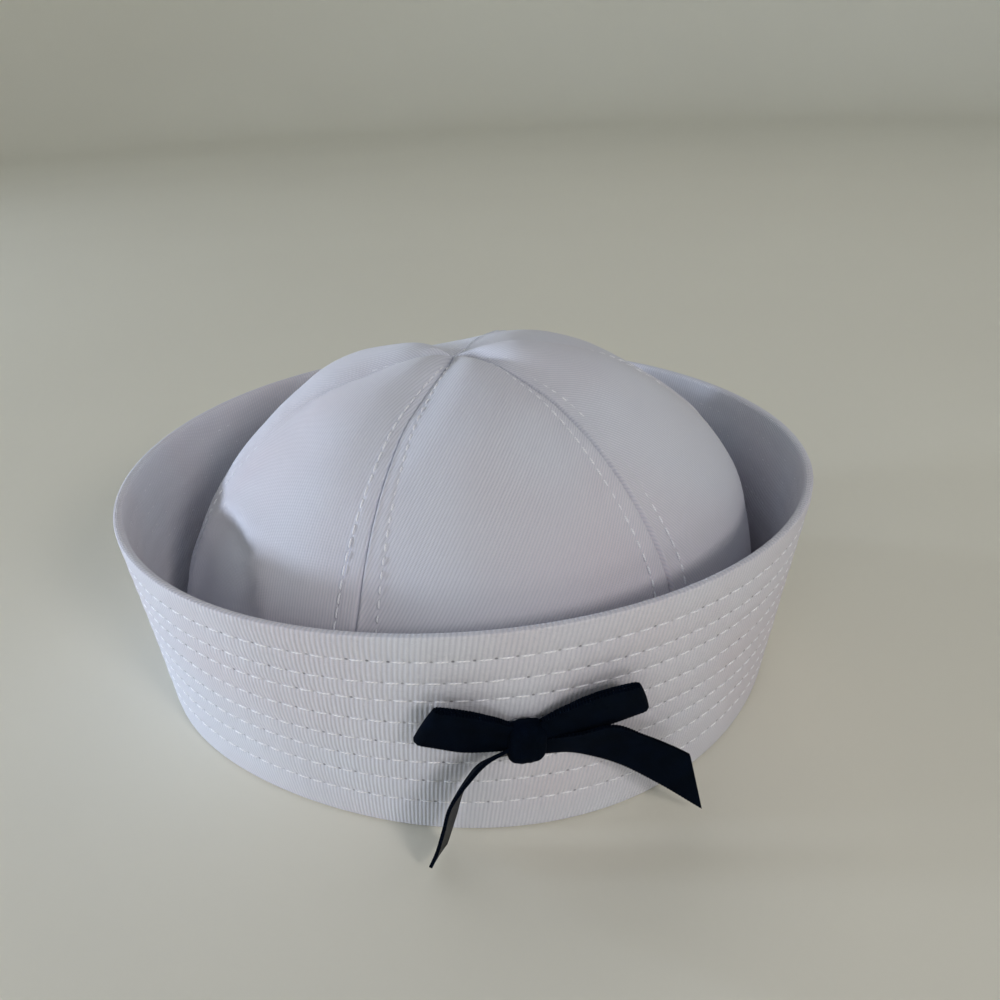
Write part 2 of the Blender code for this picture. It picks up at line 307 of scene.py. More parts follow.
@dataclass(frozen=True)
class Velvet:
    """Rayon velvet ribbon pile: almost black navy that only lightens at grazing angles."""

    name: str = "navy_rayon_velvet"
    deep: str = "02070f"
    lifted: str = "040d1c"
    sheen_tint: str = "33406a"
    pile_mm: float = 0.28
    roughness: float = 0.95

    def material(self) -> Material:
        """Builds the material, of fine pile brushed in broader patches."""
        material = new_material(self.name)
        tree = material.node_tree
        place = add_node(tree, "TexCoord", out="Object")
        pile = add_node(tree, "TexNoise", {"Vector": place},
                        {"Scale": 1 / (self.pile_mm * MM), "Detail": 2.0}, out="Fac")
        brushed = add_node(tree, "TexNoise", {"Vector": place},
                           {"Scale": 210.0, "Detail": 3.0}, out="Fac")
        shade = add_node(tree, "Math", {0: pile, 1: brushed}, operation="MULTIPLY")
        spread = add_node(tree, "MapRange", {"Value": shade},
                          {"From Min": 0.12, "From Max": 0.42})
        colour = add_node(tree, "Mix", {"Factor": spread},
                          {"A": linear(self.deep), "B": linear(self.lifted)}, out="Result",
                          data_type="RGBA")
        return surfaced(material, colour, pile, (0.8, 0.12),
                        {"Roughness": self.roughness, "Sheen Weight": 0.05,
                         "Sheen Roughness": 0.35, "Sheen Tint": linear(self.sheen_tint),
                         "Specular IOR Level": 0.04})


def eased(share: np.ndarray) -> np.ndarray:
    """Smooth step from 0 to 1, held beyond both ends."""
    share = np.clip(share, 0.0, 1.0)
    return share * share * (3 - 2 * share)


def bump_at(distance: np.ndarray, middle: float, width: float) -> np.ndarray:
    """Bell of height 1 at a distance, of a given half width."""
    return np.exp(-((distance - middle) / width) ** 2)


def soft_noise(points: np.ndarray, size: float, shift: float = 0.0) -> np.ndarray:
    """Smooth noise over space.

    Args:
        points: Places, one row each.
        size: Distance over which the noise changes.
        shift: Offset that gives another noise.

    Returns:
        A value from about -1 to 1 for each point.
    """
    places = points / size + shift
    return np.array([noise.noise(Vector(place)) for place in places])


def travelled(points: np.ndarray) -> np.ndarray:
    """Distance of each point along the line through all of them."""
    steps = np.linalg.norm(np.diff(points, axis=0), axis=1)
    return np.concatenate(([0.0], np.cumsum(steps)))


def read_curve(rows: tuple, measured: int, ways: np.ndarray) -> np.ndarray:
    """Reads rows at shares of the way along a smooth curve through the given rows.

    Args:
        rows: Table of the curve, one row a point.
        measured: How many of the first columns count for distance.
        ways: Shares of the whole way, from 0 to 1.

    Returns:
        The rows at those shares.
    """
    table = np.array(rows, dtype=float)
    stops = travelled(table[:, :measured])
    stops = stops / stops[-1]
    slopes = np.gradient(table, stops, axis=0)
    start = np.clip(np.searchsorted(stops, ways, side="right") - 1, 0, len(stops) - 2)
    span = (stops[start + 1] - stops[start])[:, None]
    part = (ways - stops[start])[:, None] / span
    near = part * part * (3 - 2 * part)
    leaving = part * (1 - part) ** 2 * span
    arriving = part * part * (part - 1) * span
    return (table[start] * (1 - near) + table[start + 1] * near
            + slopes[start] * leaving + slopes[start + 1] * arriving)


def around(azimuth: np.ndarray, radius: np.ndarray, height: np.ndarray) -> np.ndarray:
    """Points at azimuths, distances from the axis and heights, one row each."""
    return np.stack((radius * np.sin(azimuth), -radius * np.cos(azimuth),
                     height * np.ones_like(azimuth * radius)), axis=-1)


def units(vectors: np.ndarray) -> np.ndarray:
    """Rows scaled to length 1."""
    return vectors / np.linalg.norm(vectors, axis=-1, keepdims=True)


def read_all(rows: Any, name: str, width: int = 1, kind: type = float) -> np.ndarray:
    """Reads one property of all rows of a mesh's data.

    Args:
        rows: Vertices, edges, faces, corners or rows of a map.
        name: Name of the property.
        width: Numbers in each row.
        kind: Kind of number.

    Returns:
        The numbers, one row each where there are more than one.
    """
    flat = np.empty(len(rows) * width, dtype=kind)
    rows.foreach_get(name, flat)
    return flat.reshape(-1, width) if width > 1 else flat


def add_map(mesh: Mesh, name: str, places: np.ndarray) -> None:
    """Gives a mesh a map with a place for every corner of its faces."""
    mesh.uv_layers.new(name=name).uv.foreach_set("vector", places.ravel())


def shaped_grid(name: str, points: np.ndarray, cloth: np.ndarray
                ) -> tuple[Object, np.ndarray]:
    """Adds a primitive grid, moves its vertices and gives it a map of the flat cloth.

    Args:
        name: Name of the object.
        points: Places in space, by column and row.
        cloth: Places on the flat cloth in metres, by column and row.

    Returns:
        The grid, and the column and row of every corner of its faces.
    """
    columns, rows = points.shape[:2]
    bpy.ops.object.select_all(action="DESELECT")
    bpy.ops.mesh.primitive_grid_add(x_subdivisions=columns - 1, y_subdivisions=rows - 1,
                                    size=1.0, location=(0, 0, 0), calc_uvs=False)
    grid = bpy.context.object
    mesh = grid.data
    grid.name = mesh.name = name
    shares = read_all(mesh.vertices, "co", 3)[:, :2] + 0.5
    places = np.rint(shares * (columns - 1, rows - 1)).astype(int)
    mesh.vertices.foreach_set("co", points[places[:, 0], places[:, 1]].ravel())
    corners = places[read_all(mesh.loops, "vertex_index", kind=int)]
    add_map(mesh, "cloth", cloth[corners[:, 0], corners[:, 1]])
    mesh.update()
    return grid, corners


def select_only(piece: Object) -> None:
    """Deselects everything, then selects a piece and makes it active."""
    bpy.ops.object.select_all(action="DESELECT")
    piece.select_set(True)
    bpy.context.view_layer.objects.active = piece


def edit(piece: Object) -> None:
    """Opens a piece in edit mode and selects all of it."""
    select_only(piece)
    bpy.ops.object.mode_set(mode="EDIT")
    bpy.ops.mesh.select_all(action="SELECT")


def merge(piece: Object, distance: float = MERGE) -> None:
    """Merges a piece's meeting points and turns its faces outwards."""
    edit(piece)
    bpy.ops.mesh.remove_doubles(threshold=distance)
    bpy.ops.mesh.normals_make_consistent(inside=False)
    bpy.ops.object.mode_set(mode="OBJECT")


def flip(piece: Object) -> None:
    """Turns a piece's faces over."""
    edit(piece)
    bpy.ops.mesh.flip_normals()
    bpy.ops.object.mode_set(mode="OBJECT")


def give_wall(piece: Object, thickness: float, offset: float, back: int = 0
              ) -> None:
    """Gives a sheet its thickness with a Solidify modifier and applies it.

    Args:
        piece: Sheet to thicken.
        thickness: Thickness of the cloth.
        offset: -1 to thicken behind the faces, 0 to both sides.
        back: Material slots that the back is further on.
    """
    select_only(piece)
    wall = piece.modifiers.new("wall", "SOLIDIFY")
    wall.thickness = thickness
    wall.offset = offset
    wall.material_offset = back
    bpy.ops.object.modifier_apply(modifier=wall.name)


def smooth(piece: Object, angle: float = radians(50)) -> None:
    """Shades a piece smooth, with edges steeper than an angle left sharp."""
    select_only(piece)
    bpy.ops.object.shade_smooth_by_angle(angle=angle)


def dress(piece: Object, materials: list[Material]) -> None:
    """Gives a piece its materials."""
    for material in materials:
        piece.data.materials.append(material)


def attach(piece: Object, slot: Slot, *nodes: str) -> None:
    """Makes a finished piece ride with the hat and stand for its solids.

    Args:
        piece: Finished piece.
        slot: Material slot of the record; not used.
        *nodes: CAD nodes that it replaces.
    """
    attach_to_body(piece, BODY)
    if nodes:
        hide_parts(*nodes)
    log.info("%s: %d faces", piece.name, len(piece.data.polygons))


@dataclass
class Stitch:
    """One stitch of sewing thread that bows over the cloth and dives in at both ends."""

    sides: int = 6
    rings: int = 6
    radius: float = 0.00022
    dive: float = 0.00040
    merge_within: float = 0.000001
    # How much cloth a stitch passes over, for the pitch of the thread's plies
    mapped_length: float = 0.004

    def template(self) -> tuple[np.ndarray, list[tuple[int, ...]], np.ndarray]:
        """Models one stitch along +X, of length 1, with its normal along +Z.

        Returns:
            Its points, its faces and the flat map of each face corner.
        """
        share = np.linspace(0.0, 1.0, self.rings + 1)
        round_off = np.sqrt(np.clip(1 - np.abs(2 * share - 1) ** 3, 0.0, 1.0))
        sink = self.dive * np.abs(2 * share - 1) ** 2.5
        angle = 2 * pi * np.linspace(0.0, 1.0, self.sides + 1)
        points = np.zeros((self.rings + 1, self.sides + 1, 3))
        points[..., 0] = (share - 0.5)[:, None]
        points[..., 1] = self.radius * round_off[:, None] * np.cos(angle)
        points[..., 2] = self.radius * round_off[:, None] * np.sin(angle) - sink[:, None]
        cloth = np.zeros((self.rings + 1, self.sides + 1, 2))
        cloth[..., 0] = (share * self.mapped_length)[:, None]
        cloth[..., 1] = self.radius * angle
        grid, _ = shaped_grid("stitch", points, cloth)
        merge(grid, self.merge_within)
        mesh = grid.data
        shaped = read_all(mesh.vertices, "co", 3)
        faces = [tuple(face.vertices) for face in mesh.polygons]
        flat = read_all(mesh.uv_layers["cloth"].uv, "vector", 2)
        bpy.data.objects.remove(grid, do_unlink=True)
        return shaped, faces, flat

    def row(self, name: str, middles: np.ndarray, ways: np.ndarray, normals: np.ndarray,
            lengths: np.ndarray) -> Object:
        """Copies the stitch to many places and joins the copies to one piece.

        Args:
            name: Name of the piece.
            middles: Middle of each stitch on the cloth.
            ways: Direction of each stitch.
            normals: Outward normal of the cloth at each stitch.
            lengths: Length of each stitch.

        Returns:
            The piece with all the stitches.
        """
        shaped, faces, flat = self.template()
        ways = units(ways)
        normals = units(normals - ways * (normals * ways).sum(axis=1, keepdims=True))
        beside = np.cross(normals, ways)
        points = (middles[:, None]
                  + ways[:, None] * (shaped[None, :, :1] * lengths[:, None, None])
                  + beside[:, None] * shaped[None, :, 1:2]
                  + normals[:, None] * shaped[None, :, 2:3])
        mesh = bpy.data.meshes.new(name)
        all_faces = [tuple(corner + copy * len(shaped) for corner in face)
                     for copy in range(len(middles)) for face in faces]
        mesh.from_pydata(points.reshape(-1, 3).tolist(), [], all_faces)
        add_map(mesh, "cloth", np.tile(flat, (len(middles), 1)))
        mesh.shade_smooth()
        piece = bpy.data.objects.new(name, mesh)
        bpy.context.scene.collection.objects.link(piece)
        return piece


@dataclass
class Hat:
    """Sizes that the brim, the crown and the bow share."""

    set_back: float = 0.0014
    join_gap: float = 0.0003
    foot_radius: float = 0.0962
    rim_radius: float = 0.1068
    height: float = 0.0685
    wall: float = 0.0026
    foot_thickness: float = 0.0024
    # Columns: waves around, height of a wave as a share of the radius, azimuth of a crest
    foot_waves: tuple = ((1, 0.007, -155), (2, 0.022, 85), (3, 0.013, 17), (4, 0.011, 4))
    rim_waves: tuple = ((1, 0.005, -96), (2, 0.013, -1), (3, 0.012, -55))

    def waves(self, table: tuple, azimuth: np.ndarray) -> np.ndarray:
        """Radius factor of a wavy ring at azimuths."""
        return 1 + sum(size * np.cos(count * (azimuth - radians(crest)))
                       for count, size, crest in table)

    def brim_radius(self, azimuth: np.ndarray, height: np.ndarray) -> np.ndarray:
        """Radius of the brim's outer face at azimuths and heights above the ground."""
        foot = self.foot_radius * self.waves(self.foot_waves, azimuth)
        rim = self.rim_radius * self.waves(self.rim_waves, azimuth)
        return foot + (rim - foot) * height / self.height

    def in_place(self, points: np.ndarray) -> np.ndarray:
        """Points moved back by as much as the hat is."""
        return points + np.array((0.0, self.set_back, 0.0))


@dataclass
class Brim:
    """Turned-up brim: two layers of twill, sewn together by rows of topstitching."""

    hat: Hat
    fold_radius: float = 0.0011
    foot_lip: float = 0.0005
    rim_press: float = 0.5
    turn_points: int = 6
    thread_proud: float = 0.00009
    thread_sunk: float = -0.00009
    crown_cloth: float = 0.0016
    stitches: int = 134
    steps_per_stitch: int = 4
    stitch_share: float = 0.86
    # Where a stitch's line is measured, as shares of its pitch
    measured: tuple[float, float] = (0.1, 0.9)
    wander: float = 0.00006
    uneven: float = 0.025
    groove: float = 0.00024
    groove_floor: float = 0.8
    # Depth of the groove between needle holes and what a hole adds to it, as shares
    groove_shares: tuple[float, float] = (0.7, 0.9)
    groove_width: float = 0.0009
    swell: float = 0.00016
    swell_from_row: float = 0.0035
    pucker: float = 0.00013
    # Radius of the drum that the puckers' noise is read on, how far they are drawn out
    # upwards, their size
    pucker_noise: tuple[float, float, float] = (0.1, 0.35, 0.006)
    held_below: float = 0.02
    # Columns: height of the row, how far its stitches are shifted as a share of a stitch
    stitch_rows: tuple = ((0.0110, 0.00), (0.0192, 0.50), (0.0263, 0.25), (0.0330, 0.75),
                          (0.0404, 0.00), (0.0479, 0.50), (0.0538, 0.75), (0.0607, 0.25))
    outer_offsets: tuple = (-0.0017, -0.0010, -0.0005, 0.0, 0.0005, 0.0010, 0.0017)
    inner_offsets: tuple = (-0.0010, 0.0, 0.0010)
    inner_relief: float = 0.45
    # Lean of the ribs from upright, as a share of the height, at its most and at its least,
    # and the azimuth where it is most
    rib_lean: tuple[float, float, float] = (0.26, -0.04, radians(75))

    def wall_heights(self, offsets: tuple, low: float, high: float) -> list[float]:
        """Heights of the rows of points on a wall, close together at the stitching.

        Args:
            offsets: Distances from a row of stitches.
            low: Height of the wall's foot.
            high: Height of its upper end.

        Returns:
            Heights in rising order.
        """
        rows = [height for height, _ in self.stitch_rows]
        sewn = [row + offset for row in rows for offset in offsets]
        between = [(below + above) / 2 for below, above in zip(rows, rows[1:])]
        ends = [low + (rows[0] - low) * share for share in (0.25, 0.5, 0.75)]
        ends += [rows[-1] + (high - rows[-1]) * share for share in (0.4, 0.6, 0.8)]
        return sorted(height for height in sewn + between + ends if low < height < high)

    def section(self) -> tuple[np.ndarray, np.ndarray, np.ndarray]:
        """Closed section of the brim.

        Returns:
            Inset from the outer face, height, and the side that each point's face looks to:
            1 for the outer face, -1 for the inner one and 0 between.
        """
        wall, foot = self.hat.wall, self.hat.foot_thickness
        fold, edge, press = self.fold_radius, wall / 2, self.rim_press
        rim_start = self.hat.height - edge
        foot_width = wall + self.hat.join_gap + self.crown_cloth + self.foot_lip
        turn = np.linspace(0, pi / 2, self.turn_points)
        rows = [(fold - fold * cos(angle), fold + fold * sin(angle), 0)
                for angle in turn - pi / 2]
        rows += [(0.0, level, 1)
                 for level in self.wall_heights(self.outer_offsets, fold, rim_start)]
        rows += [(edge - edge * cos(angle) ** press, rim_start + edge * sin(angle) ** press, 0)
                 for angle in turn]
        rows += [(edge - edge * cos(angle), rim_start + edge * sin(angle), 0)
                 for angle in turn[1:] + pi / 2]
        rows += [(wall, level, -1)
                 for level in self.wall_heights(self.inner_offsets, foot, rim_start)[::-1]]
        rows += [(wall, foot, 0), (foot_width, foot, 0), (foot_width, 0.0, 0),
                 ((foot_width + fold) / 2, 0.0, 0)]
        inset, height, side = zip(*rows)
        return np.array(inset), np.array(height), np.array(side)

    def relief(self, stitch: np.ndarray, height: np.ndarray) -> np.ndarray:
        """How far the cloth stands out of its plain wall.

        Args:
            stitch: Places around the brim, counted in stitches.
            height: Heights above the ground.

        Returns:
            Distances along the outward normal.
        """
        out = np.zeros(np.broadcast(stitch, height).shape)
        between, at_hole = self.groove_shares
        for row, shift in self.stitch_rows:
            groove = bump_at(height, row, self.groove_width)
            hole = np.cos(pi * (stitch + shift)) ** 2
            out = out - self.groove * groove * (between + at_hole * hole ** 4)
        rows = np.array([row for row, _ in self.stitch_rows])
        gap = np.abs(height[..., None] - rows).min(axis=-1)
        return out + self.swell * eased(gap / self.swell_from_row)

    def azimuth(self, stitch: np.ndarray) -> np.ndarray:
        """Azimuths of places counted in stitches, from the middle of the back."""
        return 2 * pi * stitch / self.stitches - pi

    def points_at(self, stitch: np.ndarray, inset: np.ndarray, height: np.ndarray
                  ) -> np.ndarray:
        """Points of the brim at places counted in stitches, insets and heights."""
        azimuth = self.azimuth(stitch)
        return self.hat.in_place(
            around(azimuth, self.hat.brim_radius(azimuth, height) - inset, height))

    def cloth_map(self, stitch: np.ndarray, height: np.ndarray) -> np.ndarray:
        """Flat cloth map in metres, with the ribs' lean worked in."""
        azimuth = self.azimuth(stitch)
        most, least, crest = self.rib_lean
        lean = least + (most - least) * (1 + np.cos(azimuth - crest)) / 2
        middle = (self.hat.foot_radius + self.hat.rim_radius) / 2
        return np.stack((middle * azimuth - lean * height, height), axis=-1)

    def build_cloth(self) -> Object:
        """Models the brim's cloth.

        Returns:
            The brim as one closed piece.
        """
        inset, height, side = [np.append(column, column[0]) for column in self.section()]
        steps = np.arange(self.stitches * self.steps_per_stitch + 1)
        stitch = steps[:, None] / self.steps_per_stitch
        face = np.where(side < 0, -self.inner_relief, side)
        out = face * self.relief(stitch, height[None, :])
        points = self.points_at(stitch, inset - out, height)
        azimuth = self.azimuth(stitch)
        radius, drawn_out, size = self.pucker_noise
        drum = around(azimuth, radius + 0 * height, height * drawn_out)
        uneven = soft_noise(drum.reshape(-1, 3), size).reshape(points.shape[:2])
        free = eased(height / self.held_below) * (side != 0)
        points += around(azimuth, 1.0, 0.0) * (self.pucker * uneven * free)[..., None]
        travel = travelled(np.stack((inset, height), axis=1))
        grid, corners = shaped_grid("brim_cloth", points,
                                    self.cloth_map(stitch, travel[None, :] + 0 * stitch))
        self.map_stitch_rows(grid, corners, height, side)
        merge(grid)
        smooth(grid)
        return grid

    def map_stitch_rows(self, grid: Object, corners: np.ndarray,
                        height: np.ndarray, side: np.ndarray) -> None:
        """Adds a map that counts stitches along each row and gives the distance from it.

        Args:
            grid: Shaped grid of the brim.
            corners: Column and row of every corner of its faces.
            height: Height of every row of points.
            side: Side that every row of points looks to.
        """
        totals = read_all(grid.data.polygons, "loop_total", kind=int)
        face = np.repeat(np.arange(len(totals)), totals)
        column, row = corners.T
        middle = np.bincount(face, height[row]) / np.bincount(face)
        sewn = np.bincount(face, side[row] > 0) > 0
        rows = np.array(self.stitch_rows)
        nearest = np.abs(middle[:, None] - rows[:, 0]).argmin(axis=1)[face]
        count = column / self.steps_per_stitch + rows[nearest, 1] + nearest * self.stitches
        away = np.where(sewn[face], height[row] - rows[nearest, 0], 1.0)
        add_map(grid.data, "stitch_rows", np.stack((count, away), axis=1))

    def build_stitching(self, face: Face) -> Object:
        """Models the rows of topstitching on one face of the brim.

        Args:
            face: Face of the wall that the thread lies on.

        Returns:
            All the stitches of that face as one piece.
        """
        random = np.random.default_rng(SEED + face.value)
        count = np.arange(self.stitches)
        middles, ways = [], []
        near, far = self.measured
        proud = self.thread_proud if face is Face.OUTER else self.thread_sunk
        for row, shift in self.stitch_rows:
            height = np.full(self.stitches, row)
            inset = self.hat.wall * (face is Face.INNER)
            depth = inset + face.value * (self.groove * self.groove_floor - proud)
            wander = random.normal(0, self.wander, self.stitches)
            start = self.points_at(count - shift + near, depth, height - wander)
            end = self.points_at(count - shift + far, depth, height + wander)
            middles.append((start + end) / 2)
            ways.append(end - start)
        middle, way = np.concatenate(middles), np.concatenate(ways)
        pitch = np.linalg.norm(way, axis=1) / (far - near)
        outward = middle * (1, 1, 0) - (0, self.hat.set_back, 0)
        length = pitch * self.stitch_share * random.normal(1, self.uneven, len(pitch))
        name = f"brim_stitching_{face.name.lower()}"
        return Stitch().row(name, middle, way, outward * face.value, length)

    def build(self, twill: CottonTwill, thread: Material) -> None:
        """Builds and dresses the brim and its stitching.

        Args:
            twill: Finish of the cloth.
            thread: Material of the stitching.
        """
        cloth = self.build_cloth()
        dress(cloth, [twill.material()])
        attach(cloth, Slot.BRIM, "brim")
        for face in Face:
            stitching = self.build_stitching(face)
            dress(stitching, [thread])
            attach(stitching, Slot.BRIM)


@dataclass
class Crown:
    """Domed crown of six gores, with pressed and topstitched seams."""

    hat: Hat
    height: float = 0.1005
    cloth: float = 0.0016
    slope: float = 0.08
    # Share of the way up by which the faces no longer look level outwards
    upright_to: float = 0.06
    roundness: float = 2.4
    rows: int = 124
    stitch_from_seam: float = 0.0064
    stitch_pitch: float = 0.0036
    stitch_radius: float = 0.00029
    stitch_dive: float = 0.0003
    stitch_length: tuple[float, float] = (1.02, 0.03)
    sewn_ways: tuple[float, float] = (0.03, 0.93)
    path_points: int = 400
    # Pressed seam allowance: height, distance from the seam where it ends, width of its edge
    band: tuple[float, float, float] = (0.00022, 0.0062, 0.0012)
    # Lines along a seam: height, distance from it, half width
    groove: tuple[float, float, float] = (-0.00026, 0.0064, 0.0007)
    seam_drop: tuple[float, float, float] = (-0.00085, 0.0, 0.0005)
    ridge: tuple[float, float, float] = (0.00032, 0.0011, 0.0007)
    # Puckers along the stitching: height, half width, distance between them, their grain
    pucker: tuple[float, float, float, float] = (0.00016, 0.0048, 0.0062, 0.0055)
    seam_length: float = 0.150
    # Soft dents: height, size, offset of the noise
    dents: tuple = ((0.0007, 0.030, 1.7), (0.000245, 0.012, 5.1))
    # Shares of the foot's size and of the way up over which relief fades out at the ends
    fades: tuple[float, float] = (0.45, 0.20)
    # Share of the seam's depth that is left at the top, least fading that the pinch has
    drop_kept: float = 0.25
    least_free: float = 0.2
    # Columns: azimuth of the seam at a gore's left in degrees, how far the gore stands out,
    # lean of its ribs to the right in degrees
    gores: tuple = ((-28.0, 1.00, 32), (30.5, 1.40, -20), (90.0, 0.30, 24),
                    (155.0, -0.50, -20), (210.0, 1.15, 24), (268.5, 1.20, -16))
    # Rows of stitching that stand out most: gore, side, how far the thread stands out, share
    # of the pitch that a stitch covers; the last pair serves all the other rows
    rows_shown: tuple = ((1, Side.LEFT, 0.00017, 0.72), (6, Side.RIGHT, 0.00020, 0.96),
                         (1, Side.RIGHT, -0.00014, 0.80))
    row_elsewhere: tuple[float, float] = (-0.00026, 0.80)
    # Pinched crease beside the top: place from the top to the right and back, reach, height
    pinch: tuple[float, float, float, float] = (-0.0048, -0.0008, 0.0026, 0.0009)
    # Pushed-in side of the last gore: azimuth and height of the middle of its arch, half
    # width and height of the arch, depth, height of the ridge along its edge
    pushed_in: tuple = (radians(-64), 0.048, 0.028, 0.021, 0.0028, 0.0006)
    # Its roundness, then in arches: place and half width of the ridge, place and width of
    # the slope
    arch_edge: tuple = (2.2, 1.08, 0.12, 1.03, 0.24)
    # Azimuths from the arch's middle between which it fades in
    arch_fade: tuple = (radians(-24), radians(-8))
    # Columns: height as a share of the crown's, then as shares of its lower radius: radius,
    # stand-out of a gore's middle, lean right, lean to the front, then the shares of the
    # lower edge's waves and of the top's slope
    profile: tuple = (
        (0.000, 1.000, 0.000, 0.000, 0.000, 1.00, 0.00),
        (0.170, 0.982, 0.001, 0.002, 0.000, 0.60, 0.00),
        (0.350, 0.963, 0.002, 0.004, 0.000, 0.20, 0.02),
        (0.475, 0.929, 0.002, 0.011, 0.023, 0.00, 0.12),
        (0.575, 0.888, 0.002, 0.017, 0.044, 0.00, 0.25),
        (0.675, 0.823, 0.003, 0.013, 0.048, 0.00, 0.42),
        (0.775, 0.726, 0.006, 0.007, 0.049, 0.00, 0.60),
        (0.875, 0.589, 0.018, 0.003, 0.046, 0.00, 0.76),
        (0.936, 0.464, 0.032, -0.001, 0.044, 0.00, 0.90),
        (0.980, 0.309, 0.036, 0.000, 0.055, 0.00, 0.96),
        (1.007, 0.164, 0.033, 0.002, 0.066, 0.00, 1.00),
        (1.000, 0.060, 0.022, -0.010, 0.050, 0.00, 1.00),
        (0.994, 0.0020, 0.006, -0.022, 0.037, 0.00, 1.00))
    # Distances of the columns of points from a seam at the crown's foot, and the least
    # distance from the last of them to the gore's middle
    middle_gap: float = 0.003
    from_seam_mm: tuple = (0.0, 0.25, 0.5, 0.8, 1.2, 1.7, 2.4, 3.3, 4.3, 5.2, 5.8, 6.4, 7.0,
                           7.6, 8.6, 10.5, 13.5, 17.0, 21.0, 25.5, 30.5, 36.0, 42.0)

    def seat(self) -> float:
        """Height of the crown's lower edge, just above the turned-in seam allowance."""
        return self.hat.foot_thickness + self.hat.join_gap

    def foot_size(self) -> float:
        """Radius of the crown's foot where the brim has no waves."""
        return self.hat.foot_radius - self.hat.wall - self.hat.join_gap

    def meridian(self, ways: np.ndarray) -> tuple[np.ndarray, np.ndarray]:
        """Seam line of the crown at shares of the way up.

        Args:
            ways: Shares of the way from the foot to the top.

        Returns:
            Rows of sizes in metres with the profile's columns, and the outward normals as
            pairs of radius and height.
        """
        size = self.foot_size()
        rise = self.height - self.seat()
        scale = np.array((rise, size, size, size, size, 1.0, 1.0))
        table = np.array(self.profile) * scale
        rows = read_curve(table, 2, ways)
        step = 0.01
        ahead = read_curve(table, 2, np.minimum(ways + step, 1.0))[:, :2]
        behind = read_curve(table, 2, np.maximum(ways - step, 0.0))[:, :2]
        way = units(ahead - behind)
        normal = np.stack((way[:, 0], -way[:, 1]), axis=1)
        level = eased(ways / self.upright_to)[:, None]
        normal = units(normal * level + np.array((1.0, 0.0)) * (1 - level))
        rows[:, 0] += self.seat()
        return rows, normal

    def surface(self, number: int, shares: np.ndarray, ways: np.ndarray,
                out_by: np.ndarray | float = 0.0) -> np.ndarray:
        """Points of a gore's outer face.

        Args:
            number: Gore, counted from 1 at the front towards +X.
            shares: Places across, from -1 at the left seam to 1 at the right one.
            ways: Shares of the way up, in an array of one column a share across.
            out_by: How far the points stand out of the face.

        Returns:
            Points, by place across and way up.
        """
        left, right, fullness = self.seams(number)
        rows, normal = self.meridian(ways)
        high, radius, stand, lean_right, lean_front, wavy, sloping = rows.T
        azimuth = (left + right) / 2 + shares[:, None] * (right - left) / 2
        foot = (self.hat.brim_radius(azimuth, self.seat()) - self.hat.wall
                - self.hat.join_gap)
        stretch = 1 + wavy * (foot / self.foot_size() - 1)
        bow = 1 - np.abs(shares[:, None]) ** self.roundness
        push = fullness * stand * bow + out_by
        points = around(azimuth, radius * stretch + push * normal[:, 0],
                        high + push * normal[:, 1])
        points[..., 2] += sloping * self.slope * points[..., 0]
        points[..., 0] += lean_right
        points[..., 1] -= lean_front
        return self.hat.in_place(points)

    def seams(self, number: int) -> tuple[float, float, float]:
        """Left seam, right seam and fullness of a gore, with angles in radians."""
        azimuths = [radians(gore[0]) for gore in self.gores]
        azimuths.append(azimuths[0] + 2 * pi)
        return azimuths[number - 1], azimuths[number], float(self.gores[number - 1][1])

    def half_width(self, number: int) -> float:
        """Half of a gore's width at the crown's foot."""
        left, right, _ = self.seams(number)
        return (right - left) / 2 * self.foot_size()

    def across(self, number: int) -> np.ndarray:
        """Places across a gore of its columns of points, close together at the seams."""
        half = self.half_width(number)
        near = np.array(self.from_seam_mm) * MM
        share = 1 - near[near < half - self.middle_gap] / half
        return np.concatenate((-share, [0.0], share[::-1]))

    def relief(self, number: int, shares: np.ndarray, ways: np.ndarray,
               plain: np.ndarray) -> np.ndarray:
        """How far a gore's cloth stands out of its plain face.

        Args:
            number: Gore.
            shares: Places across.
            ways: Shares of the way up.
            plain: Points of the plain face, by place across and way up.

        Returns:
            Distances along the outward normal, by place across and way up.
        """
        half = self.half_width(number)
        rows, _ = self.meridian(ways)
        narrow = rows[:, 1] / self.foot_size()
        soft = eased(narrow / self.fades[0])
        free = eased(ways / self.fades[1]) * soft
        from_seam = (1 - np.abs(shares))[:, None] * half
        groove, drop, ridge = [
            height * bump_at(from_seam, place, width)
            for height, place, width in (self.groove, self.seam_drop, self.ridge)]
        allowance, ends, edge = self.band
        band = allowance * (1 - eased((from_seam - ends) / edge))
        band = band + groove + ridge * (shares < 0)[:, None]
        flat = plain.reshape(-1, 3)
        deep, reach, apart, grain = self.pucker
        rough = soft_noise(flat, grain, 3.0 * number).reshape(from_seam.shape[0], -1)
        gathers = np.sin(2 * pi * ways * self.seam_length / apart + 2.5 * rough + number)
        pucker = (deep * gathers * (0.5 + rough)
                  * bump_at(from_seam, self.stitch_from_seam, reach))
        dents = sum(height * soft_noise(flat, size, shift)
                    for height, size, shift in self.dents)
        dents = dents.reshape(rough.shape) + self.pinched(plain) / free.clip(self.least_free)
        kept = self.drop_kept + (1 - self.drop_kept) * soft
        out = band * soft + drop * kept + (pucker + dents) * free
        return out + (self.side_fold(plain) if number == len(self.gores) else 0.0)

    def pinched(self, plain: np.ndarray) -> np.ndarray:
        """Height at points of the plain face of the crease pinched beside the top."""
        right, back, reach, height = self.pinch
        top = self.surface(1, np.zeros(1), np.ones(1))[0, 0, :2]
        away = plain[..., :2] - top - (right, back)
        ring = bump_at(np.hypot(away[..., 0], away[..., 1]), reach, reach / 3)
        return height * ring * eased((away[..., 1] / reach + 0.6) / 0.8)

